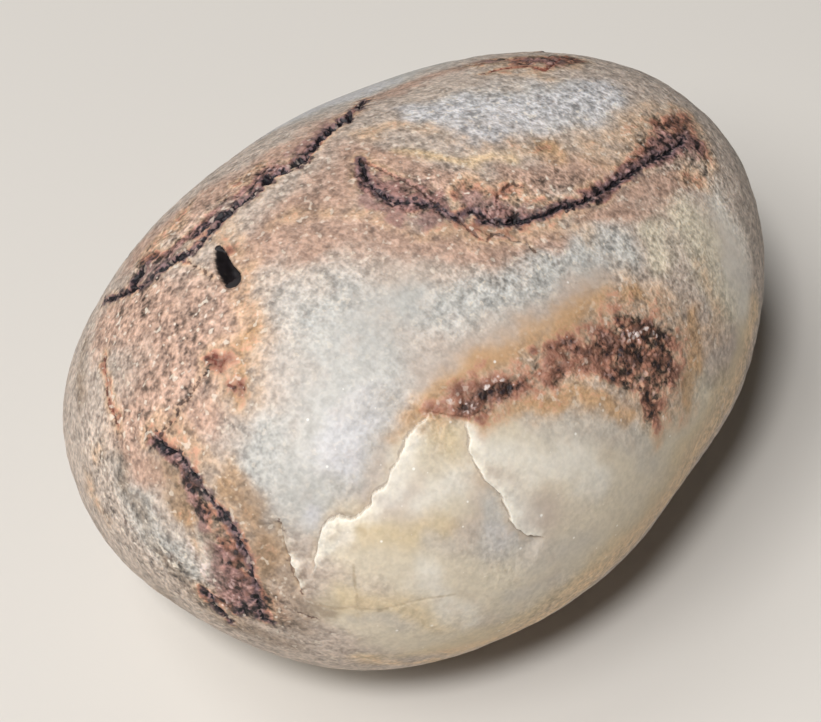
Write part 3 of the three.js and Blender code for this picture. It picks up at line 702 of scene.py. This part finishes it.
bm = bmesh.new()
bmesh.ops.create_icosphere(bm, subdivisions=SPHERE_LEVEL, radius=1)
lay_on_form(bm)
for band in FINE_BANDS:
    points = coordinates(bm)
    wanted = outside_marks(points, band + 1) < band
    stained = np.maximum(whole_cover(points, "purple"), whole_cover(points, "rust"))
    wanted |= stained > STAINED_FROM
    halve_edges(bm, wanted)
for mark in layer_edges:
    for offset in (-LAYER_RISER, 0):
        cut_along(bm, mark, offset)

points = coordinates(bm)
outward = unit(points)


SEED_SHIFT = 17.3  # lumps between the places where two seeds' noise is read
CRUMB_SHOULDER = 0.45  # share of a crumb's size, from the gap up to its full height
CRUMB_SHUFFLE = 7.3  # sets neighbouring crumbs' tones apart


def lumps(size, seed):
    """Noise from -1 to 1 at every point, with lumps of one size, in mm."""
    return np.array([noise.noise(p) for p in points / size + seed * SEED_SHIFT])


def crumbs(size):
    """A druse of crumbs of one size, in mm: how high each point lies on its crumb, from 0 in the gaps to
    1, and the crumb's own tone from -1 to 1."""
    heights, tones = [], []
    for point in points / size:
        away, sites = noise.voronoi(point)
        heights.append(min((away[1] - away[0]) / CRUMB_SHOULDER, 1))
        tones.append(noise.noise(sites[0] * CRUMB_SHUFFLE))
    return np.array(heights), np.clip(np.array(tones) * 2, -1, 1)


def run_out(share):
    """Fades a mark's depth in and out at its two ends."""
    return smoothstep(share, 0, 0.08) * (1 - smoothstep(share, 0.92, 1))


# ---- Covers, gaps and relief at every point. A gap is the distance outside a mark's edge, in mm ----
FAR = 3.0  # the gap where no mark is near
CRUMB_SIZE, CRUMB_RISE = 0.4, 0.12
LUMP_RISE, HOLLOW_DEPTH = 0.05, 0.2
WEAR = 0.06  # taken off all round, so that the slow swell stays inside the form
PIT_WALL = 0.3  # mm that the pit's wall slopes over
FISSURE_OPEN = 0.7  # share of a fissure's depth that isn't healed
CRUMBLE_RISE, CRUMBLE_REACH = 0.12, 0.5  # of a fissure's crumbled lips
LIP_HIGHLIGHT_REACH, FOOT_SHADE_REACH = 0.7, 0.35  # mm that the painted highlight on a layer's lip and the painted shade at its foot fade over
# A fissure swells and pinches in beads, and its lips crumble. Its width there is a share of the one given.
MEAN_WIDTH, LEAST_WIDTH, MOST_WIDTH = 0.42, 0.06, 1.4
beads = MEAN_WIDTH + 0.9 * lumps(1.1, 1) + 0.6 * lumps(0.4, 13)
beads = np.clip(beads, LEAST_WIDTH, MOST_WIDTH)
crumble = lumps(0.45, 12)
relief = np.zeros(len(points))


def nearness(gap, reach):
    """1 inside a mark and at its edge, fading out over a reach in mm."""
    return np.exp(-np.maximum(gap, 0) / reach)


def gap_and_fade(marks, ragged):
    """The gap to the nearest of some marks, with ragged edges, and its depth there."""
    gap, depth = np.full(len(points), FAR), np.zeros(len(points))
    for mark in marks:
        right, share, width = mark.beside(points, FAR)
        away = np.where(np.isfinite(right), np.abs(right), FAR) - width * ragged
        depth = np.where(away < gap, mark.depth * run_out(share), depth)
        gap = np.minimum(gap, away)
    return gap, depth


fissure_gap, depth = gap_and_fade(fissures, beads)
relief -= FISSURE_OPEN * depth * (1 - smoothstep(fissure_gap, -0.15, 0.1)) * (0.8 + 0.5 * crumble)
relief += CRUMBLE_RISE * crumble * nearness(fissure_gap, CRUMBLE_REACH)
gaps = {"fissure": fissure_gap}
# Shallow marks: how ragged their edges are, and the mm that they slope over to either side.
SHALLOW_MARKS = [("vein", veins, beads, 0.1), ("crack", hair_cracks, 1, 0.08), ("seam", seams, 1, 0.08)]
for name, marks, ragged, slope in SHALLOW_MARKS:
    gaps[name], depth = gap_and_fade(marks, ragged)
    relief -= depth * (1 - smoothstep(gaps[name], -slope, slope))
gaps["pit"], depth = gap_and_fade(pits, 1)
relief -= np.where(depth > 0, pits[0].depth, 0) * (1 - smoothstep(gaps["pit"], -PIT_WALL, 0.02))
# At each layer edge: a painted highlight on the raised lip, and painted shade at the foot of the drop.
lip, foot = np.zeros(len(points)), np.zeros(len(points))
for mark in layer_edges:
    right, share, _ = mark.beside(points, LAYER_REACH)
    right = np.where(np.isfinite(right), right, LAYER_REACH)
    fade = run_out(share)
    drop = smoothstep(right, -LAYER_RISER, 0) * (1 - smoothstep(right, 0, LAYER_REACH))
    relief -= mark.depth * fade * drop
    fade = fade * mark.depth / LAYER_DEPTH
    lip = np.maximum(lip, fade * (right < 0) * np.exp(np.minimum(right, 0) / LIP_HIGHLIGHT_REACH))
    foot = np.maximum(foot, fade * (right >= -0.5 * LAYER_RISER) * np.exp(-np.abs(right) / FOOT_SHADE_REACH))

# The streaks' outlines wander: the size of the bends, how far they go aside, and the seeds.
warp = np.zeros((len(points), 3))
for size, aside, seeds in ((2.5, 0.9, (2, 3, 4)), (0.9, 0.35, (5, 6, 7))):
    warp += np.stack([lumps(size, seed) for seed in seeds], axis=1) * aside
masks = {name: whole_cover(points + warp, name) for name in STREAKS}
masks["stained"] = np.maximum(masks["rust"], masks["purple"])
# How much iron there is: 0 none, 0.3 ochre, 0.6 rust, 0.9 purple-brown. Beside a mark it comes with the
# distance that it creeps out, in mm. The hair cracks in the worn ground are clean.
IRON_IN = {"ochre": 0.38, "rust": 0.55, "purple": 0.72}
IRON_BESIDE = {"fissure": (0.7, 0.5), "vein": (0.6, 0.5), "crack": (0.35, 0.3)}
bare = np.ones(len(points))
for name, (share, reach) in IRON_BESIDE.items():
    soaked = 1 - masks["worn"] if name == "crack" else 1
    bare *= 1 - share * soaked * nearness(gaps[name], reach)
for name, share in IRON_IN.items():
    bare *= 1 - share * masks[name]
masks["iron"] = 1 - bare
masks["crumb_height"], masks["crumb_tone"] = crumbs(CRUMB_SIZE)
masks["druse"] = np.maximum(smoothstep(masks["purple"] + 0.3 * masks["rust"], 0.15, 0.7),
                            0.6 * nearness(fissure_gap, 0.2))
masks["druse"] *= smoothstep(gaps["pit"], 0.05, 0.3)
# Black grains lie by the fissures and in the purple, on crumbs of the darker tones.
masks["grain"] = np.maximum(nearness(fissure_gap, 0.5), 0.7 * masks["purple"])
masks["grain"] *= smoothstep(-masks["crumb_tone"], 0.1, 0.4)
masks["grain"] *= masks["crumb_height"]
masks["crystal"] *= smoothstep(masks["crumb_tone"], -0.2, 0.3) * masks["crumb_height"]
masks.update(gaps, lip=lip, foot=foot)

# Low lumps where water hasn't worn them off, hollows and crumbs where the ground is stained, and a slow
# swell all over.
relief += (1 - 0.95 * masks["worn"]) * (LUMP_RISE * lumps(1.6, 8) + LUMP_RISE * lumps(0.8, 9))
hollows = HOLLOW_DEPTH * np.clip(lumps(0.9, 10) + 0.15, 0, 1)
relief -= masks["stained"] * (hollows + 0.06 * crumble)
relief += masks["druse"] * CRUMB_RISE * (masks["crumb_height"] * (0.6 + 0.4 * masks["crumb_tone"]) - 0.5)
relief += WEAR * lumps(5.0, 11) - WEAR

radius = form_radius(outward) + relief
above_ground = np.where(outward[:, 2] < 0, -CENTRE[2] / np.minimum(outward[:, 2], -1e-6), np.inf)
radius = np.minimum(radius, above_ground)
for vert, place in zip(bm.verts, CENTRE + outward * radius[:, None]):
    vert.co = place * MM
mesh = bpy.data.meshes.new("pebble_stone")
bm.to_mesh(mesh)
bm.free()
mesh.shade_smooth()
for mask, values in masks.items():
    attribute = mesh.attributes.new(mask, "FLOAT", "POINT")
    attribute.data.foreach_set("value", values.astype(np.float32))
stone = bpy.data.objects.new("pebble_stone", mesh)
bpy.context.scene.collection.objects.link(stone)
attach(stone, "root")
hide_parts("pebble")


# ---- Materials ----
def linear(hex_colour):
    """An sRGB hex colour as linear RGBA."""
    parts = [int(hex_colour[i : i + 2], 16) / 255 for i in (1, 3, 5)]
    return [c / 12.92 if c <= 0.04045 else ((c + 0.055) / 1.055) ** 2.4 for c in parts] + [1]


def add(nodes, kind, inputs, **settings):
    """Adds a node with its settings. An input is given by name or number, as a value or as a link."""
    node = nodes.new(kind)
    for name, value in settings.items():
        setattr(node, name, value)
    for socket, value in inputs.items():
        if isinstance(value, bpy.types.NodeSocket):
            node.id_data.links.new(value, node.inputs[socket])
        else:
            node.inputs[socket].default_value = value
    return node


def new_material(name):
    material = bpy.data.materials.new(name)
    material.use_nodes = True
    material.node_tree.nodes.clear()
    return material, material.node_tree.nodes


# Water-worn jasper: opaque red-brown iron in clouded chalcedony, rolled smooth by a river. The worn layers
# have a soft sheen over milky depth; iron has eaten the rest, which is dull, sugary and speckled.
jasper, nodes = new_material("water-worn jasper")
place = add(nodes, "ShaderNodeTexCoord", {}).outputs["Object"]
in_mm = add(nodes, "ShaderNodeVectorMath", {0: place, "Scale": 1 / MM}, operation="SCALE").outputs[0]

# Clouds and grains, by their sizes in mm: the milky clouds are 4 to 5 mm, the mottling 2 mm, a quartz
# crumb about 1 mm. The real grit is 0.1 to 0.2 mm, too fine to show, so it is drawn coarser. Each texture
# runs from 0 to 1 about a middle of 0.5.
TEXTURES = [("cloud", 4.5, 2), ("mottle", 1.8, 4), ("crumb", 0.85, 2), ("grit", 0.34, 1)]
textures = {}
for name, size, detail in TEXTURES:
    clouds = add(nodes, "ShaderNodeTexNoise",
                 {"Vector": in_mm, "Scale": 1 / size, "Detail": detail, "Roughness": 0.55})
    textures[name] = add(nodes, "ShaderNodeMapRange",
                         {"Value": clouds.outputs[0], "From Min": 0.34, "From Max": 0.66}).outputs[0]
# Painted glints and pores are the peaks and the hollows of two noises, set apart by a shift in mm: the
# glints paint the highlights of the sugary grain as pale specks. The real ones are 0.1 to 0.3 mm, so they
# are drawn coarser.
for name, size, shift in (("painted_glint", 0.46, 50.0), ("pore", 0.6, 90.0)):
    moved = add(nodes, "ShaderNodeVectorMath", {0: in_mm, 1: [shift] * 3}, operation="ADD").outputs[0]
    textures[name] = add(nodes, "ShaderNodeTexNoise",
                         {"Vector": moved, "Scale": 1 / size, "Detail": 1.0, "Roughness": 0.4}).outputs[0]

# Flecks are small round grains, a few to each patch of the worn ground.
FLECK_SPACING, FLECK_RADIUS = 0.9, 0.13
cells = add(nodes, "ShaderNodeTexVoronoi", {"Vector": in_mm, "Scale": 1 / FLECK_SPACING})
chance = add(nodes, "ShaderNodeSeparateColor", {0: cells.outputs["Color"]}).outputs[0]
fleck_size = add(nodes, "ShaderNodeMapRange",
                 {"Value": chance, "From Min": 0.2, "To Min": 0.0, "To Max": FLECK_RADIUS / FLECK_SPACING})
textures["fleck"] = add(nodes, "ShaderNodeMath", {0: fleck_size.outputs[0], 1: cells.outputs["Distance"]},
                        operation="SUBTRACT").outputs[0]

mask_nodes = {
    name: add(nodes, "ShaderNodeAttribute", {}, attribute_name=name).outputs["Fac"] for name in masks
}


def sum_of(first, *terms):
    """A socket for first + value * factor + ..., for terms of (value, factor)."""
    for value, factor in terms:
        total = add(nodes, "ShaderNodeMath", {0: value, 1: factor, 2: first}, operation="MULTIPLY_ADD")
        first = total.outputs[0]
    return first


# The iron's edges are frayed by the textures, only where there is some iron.
iron_there = add(nodes, "ShaderNodeMapRange",
                 {"Value": mask_nodes["iron"], "From Min": 0.15, "From Max": 0.6}).outputs[0]
fray = sum_of(-0.3, (textures["mottle"], 0.3), (textures["crumb"], 0.3))
mask_nodes["iron"] = sum_of(mask_nodes["iron"], (fray, iron_there))

GROUND = "#b9a99c"
# Each layer: mask, colour, the texture that breaks its edge and by how much, the mask values that it
# starts and is full at, and how much it covers. Gaps are in mm.
LAYERS = [
    ("grey", "#b6b3ad", "mottle", 0.3, 0.0, 1.0, 1.0),
    ("blue", "#c3c0c0", "mottle", 0.3, 0.1, 0.9, 0.9),
    ("cream", "#cdc1ac", "cloud", 0.12, 0.1, 0.9, 0.95),
    ("honey", "#c9b592", "cloud", 0.15, 0.0, 1.2, 0.8),
    ("milk_and_rim_light", "#dcd6cb", "cloud", 0.15, 0.0, 1.2, 0.8),
    ("veil", "#b5aea6", "cloud", 0.12, 0.0, 1.3, 0.6),
    ("peach_and_glow", "#dabd97", "cloud", 0.15, 0.0, 1.1, 0.9),
    ("pink", "#b1917f", "mottle", 0.3, 0.0, 0.9, 0.9),
    ("iron", "#c3a384", "mottle", 0.1, 0.06, 0.5, 0.7),
    ("golden", "#b98f5f", "mottle", 0.3, 0.05, 1.0, 0.6),
    # The brown-grey is partly painted shade along the rims:
    ("smoky_and_shade", "#84705d", "mottle", 0.4, 0.0, 1.3, 0.8),
    ("iron", "#ad7f69", "grit", 0.15, 0.38, 0.64, 0.85),
    ("iron", "#855b4b", "grit", 0.15, 0.56, 0.78, 0.9),
    ("iron", "#5f463e", "grit", 0.15, 0.76, 1.0, 0.8),
    ("crystal", "#c7b9b3", "grit", 0.3, 0.15, 0.5, 0.85),
    ("mauve", "#8a6a66", "crumb", 0.5, 0.2, 0.9, 0.8),
    ("fissure", "#6b575b", "crumb", 0.5, 0.45, 0.05, 0.8),
    ("fissure", "#4d3c43", "grit", 0.3, 0.07, -0.04, 0.85),
    ("grain", "#241e25", "grit", 0.1, 0.15, 0.45, 0.9),
    ("fissure", "#17131a", "grit", 0.17, 0.05, -0.05, 0.95),
    # The pit is painted near-black over its walls and floor, as painted shade in the hollow:
    ("pit", "#1a1517", "grit", 0.03, 0.03, -0.06, 1.0),
    ("vein", "#7a3f33", "grit", 0.3, 0.06, -0.08, 0.8),
    ("crack", "#5f443a", "grit", 0.25, 0.04, -0.06, 0.75),
    ("seam", "#a8957a", "crumb", 0.1, 0.1, -0.06, 0.5),
    # Painted highlight along the layers' raised lips, and painted shade at their feet:
    ("lip", "#e6dfd1", "crumb", 0.4, 0.15, 1.0, 0.8),
    ("foot", "#a38f77", "crumb", 0.3, 0.05, 0.6, 0.4),
    ("foot", "#7c6d5e", "crumb", 0.4, 0.7, 1.0, 0.5),
]
colour = linear(GROUND)
for mask, hex_colour, breakup, amount, start, full, cover in LAYERS:
    broken = sum_of(mask_nodes[mask], (textures[breakup], amount))
    edge = add(nodes, "ShaderNodeMapRange",
               {"Value": broken, "From Min": start + amount / 2, "From Max": full + amount / 2,
                "To Max": cover}, interpolation_type="SMOOTHSTEP")
    colour = add(nodes, "ShaderNodeMix", {0: edge.outputs[0], 6: colour, 7: linear(hex_colour)},
                 data_type="RGBA").outputs[2]

# How rough the ground is: low where water has worn it, high where it is coarse or iron has eaten it.
rough = sum_of(0.66, (mask_nodes["coarse"], 0.44), (mask_nodes["stained"], 0.34),
               (mask_nodes["worn"], -0.54), (mask_nodes["grey"], 0.1))
LEAST_ROUGH = 0.12
rough = add(nodes, "ShaderNodeMath", {0: rough, 1: LEAST_ROUGH}, operation="MAXIMUM").outputs[0]
# What the textures do to the tone, as a share of it, and to the relief, in mm. Apart from the clouds, the
# tone is painted shade and light of that same small relief: darker in its hollows, lighter on its highs.
GRAIN = [("cloud", 0.16, 0.0), ("mottle", 0.24, 0.06), ("crumb", 0.72, 0.11), ("grit", 0.76, 0.05)]
height = sum_of(0.0, *((textures[name], rise) for name, _, rise in GRAIN))
uneven = add(nodes, "ShaderNodeMapRange",
             {"Value": rough, "From Min": LEAST_ROUGH, "To Min": 0.03}).outputs[0]
out_of_pit = add(nodes, "ShaderNodeMapRange",
                 {"Value": mask_nodes["pit"], "To Min": 0.0, "From Max": 0.1}).outputs[0]
uneven = add(nodes, "ShaderNodeMath", {0: uneven, 1: out_of_pit}, operation="MULTIPLY").outputs[0]
height = add(nodes, "ShaderNodeMath", {0: height, 1: uneven}, operation="MULTIPLY").outputs[0]
middle_tone = sum(share for _, share, _ in GRAIN) / 2
tone_and_shade = sum_of(-middle_tone, *((textures[name], share) for name, share, _ in GRAIN))
tone_and_shade = sum_of(1.0, (tone_and_shade, rough))
# The druse has painted shade in the gaps between its crumbs, and each crumb has a tone of its own.
crumb_tone = sum_of(-0.5, (mask_nodes["crumb_height"], 0.66), (mask_nodes["crumb_tone"], 0.46))
tone_and_shade = sum_of(tone_and_shade, (crumb_tone, mask_nodes["druse"]))
tone_and_shade = add(nodes, "ShaderNodeMath", {0: tone_and_shade, 1: 0.1}, operation="MAXIMUM").outputs[0]
colour = add(nodes, "ShaderNodeVectorMath", {0: colour, "Scale": tone_and_shade}, operation="SCALE").outputs[0]

# Grains that stand out, and painted glints: texture, the tones that are picked, colour, cover, and where.
# The pale specks on the clear ground and the pinkish ones on the druse are painted highlights.
rough_ground = add(nodes, "ShaderNodeMath", {0: rough, 1: out_of_pit}, operation="MULTIPLY").outputs[0]
clear = sum_of(1.0, (mask_nodes["druse"], -0.9), (mask_nodes["stained"], -0.4))
clear = add(nodes, "ShaderNodeMath", {0: clear, 1: rough_ground}, operation="MULTIPLY").outputs[0]
SPECKS = [
    ("painted_glint", 0.63, 0.71, "#e9dccb", 0.7, clear),
    ("fleck", 0.0, 0.06, "#f3efe8", 0.75, mask_nodes["worn"]),
    ("painted_glint", 0.64, 0.74, "#c9a49a", 0.45, mask_nodes["druse"]),
    ("pore", 0.36, 0.28, "#6b5248", 0.35, rough_ground),
]
for name, start, full, hex_colour, cover, where in SPECKS:
    picked = add(nodes, "ShaderNodeMapRange",
                 {"Value": textures[name], "From Min": start, "From Max": full, "To Max": cover}).outputs[0]
    picked = add(nodes, "ShaderNodeMath", {0: picked, 1: where},
                 operation="MULTIPLY", use_clamp=True).outputs[0]
    colour = add(nodes, "ShaderNodeMix", {0: picked, 6: colour, 7: linear(hex_colour)},
                 data_type="RGBA").outputs[2]

QUARTZ_IOR = 1.54
bump = add(nodes, "ShaderNodeBump", {"Height": height, "Distance": MM})
gloss = add(nodes, "ShaderNodeMapRange", {"Value": rough, "To Min": 0.47, "To Max": 0.64})
shader = add(nodes, "ShaderNodeBsdfPrincipled",
             {"Base Color": colour, "Roughness": gloss.outputs[0], "IOR": QUARTZ_IOR,
              "Specular IOR Level": 0.35, "Normal": bump.outputs[0], "Subsurface Weight": 0.35,
              "Subsurface Scale": 1.0 * MM, "Subsurface Radius": (1.0, 0.8, 0.6)})
add(nodes, "ShaderNodeOutputMaterial", {"Surface": shader.outputs[0]})
mesh.materials.append(jasper)

# ---- The floor, the light and the camera ----
# A pale worktop with a honed, matt face: an even warm grey with no shine.
worktop, nodes = new_material("pale matt worktop")
shader = add(nodes, "ShaderNodeBsdfPrincipled", {"Base Color": linear("#d1ccc5"), "Roughness": 0.85})
add(nodes, "ShaderNodeOutputMaterial", {"Surface": shader.outputs[0]})
FLOOR_HALF = 0.8
FLOOR_GAP = 0.00002  # m below the stone, so that the two faces don't coincide
floor_mesh = bpy.data.meshes.new("floor")
corners = [(-1, -1), (1, -1), (1, 1), (-1, 1)]
places = [(x * FLOOR_HALF, y * FLOOR_HALF, -FLOOR_GAP) for x, y in corners]
floor_mesh.from_pydata(places, [], [(0, 1, 2, 3)])
floor_mesh.materials.append(worktop)
floor = bpy.data.objects.new("floor", floor_mesh)
bpy.context.scene.collection.objects.link(floor)

scene = bpy.context.scene
scene.view_settings.view_transform = "Standard"
scene.world = bpy.data.worlds.new("soft surroundings")
scene.world.use_nodes = True
surroundings = scene.world.node_tree.nodes["Background"].inputs
surroundings["Color"].default_value = linear("#f4f1ee")
surroundings["Strength"].default_value = 0.05
WINDOW_DISTANCE = 0.7  # m


def area_light(name, bearing, height, size, watts):
    """A round white light that faces the stone, by its bearing and height in degrees and size in m."""
    light = bpy.data.lights.new(name, "AREA")
    light.shape = "DISK"
    light.size, light.energy = size, watts
    lamp = bpy.data.objects.new(name, light)
    towards = Vector(heading(bearing, height))
    lamp.location = Vector(CENTRE * MM) + towards * WINDOW_DISTANCE
    lamp.rotation_mode = "QUATERNION"
    lamp.rotation_quaternion = towards.to_track_quat("Z", "Y")
    scene.collection.objects.link(lamp)


area_light("window, left pane", 130, 65, 0.3, 1.15)
area_light("window, middle pane", 183, 55, 0.3, 2.6)
area_light("window, right pane", 206, 60, 0.12, 2.8)

camera = bpy.data.cameras.new("camera")
camera.sensor_width = 36.0
VIEW_WIDTH = 57.47  # mm that the view spans at the chart
camera.lens = camera.sensor_width * EYE_DISTANCE / VIEW_WIDTH
camera.clip_start = 0.01
eye = bpy.data.objects.new("camera", camera)
middle = CENTRE + show_right * SHOW_FACE["middle"][0] + show_up * SHOW_FACE["middle"][1]
eye.matrix_world = Matrix.Translation(Vector((middle + show_towards * EYE_DISTANCE) * MM)) @ Matrix(
    [show_right, show_up, show_towards]
).transposed().to_4x4()
scene.collection.objects.link(eye)
scene.camera = eye
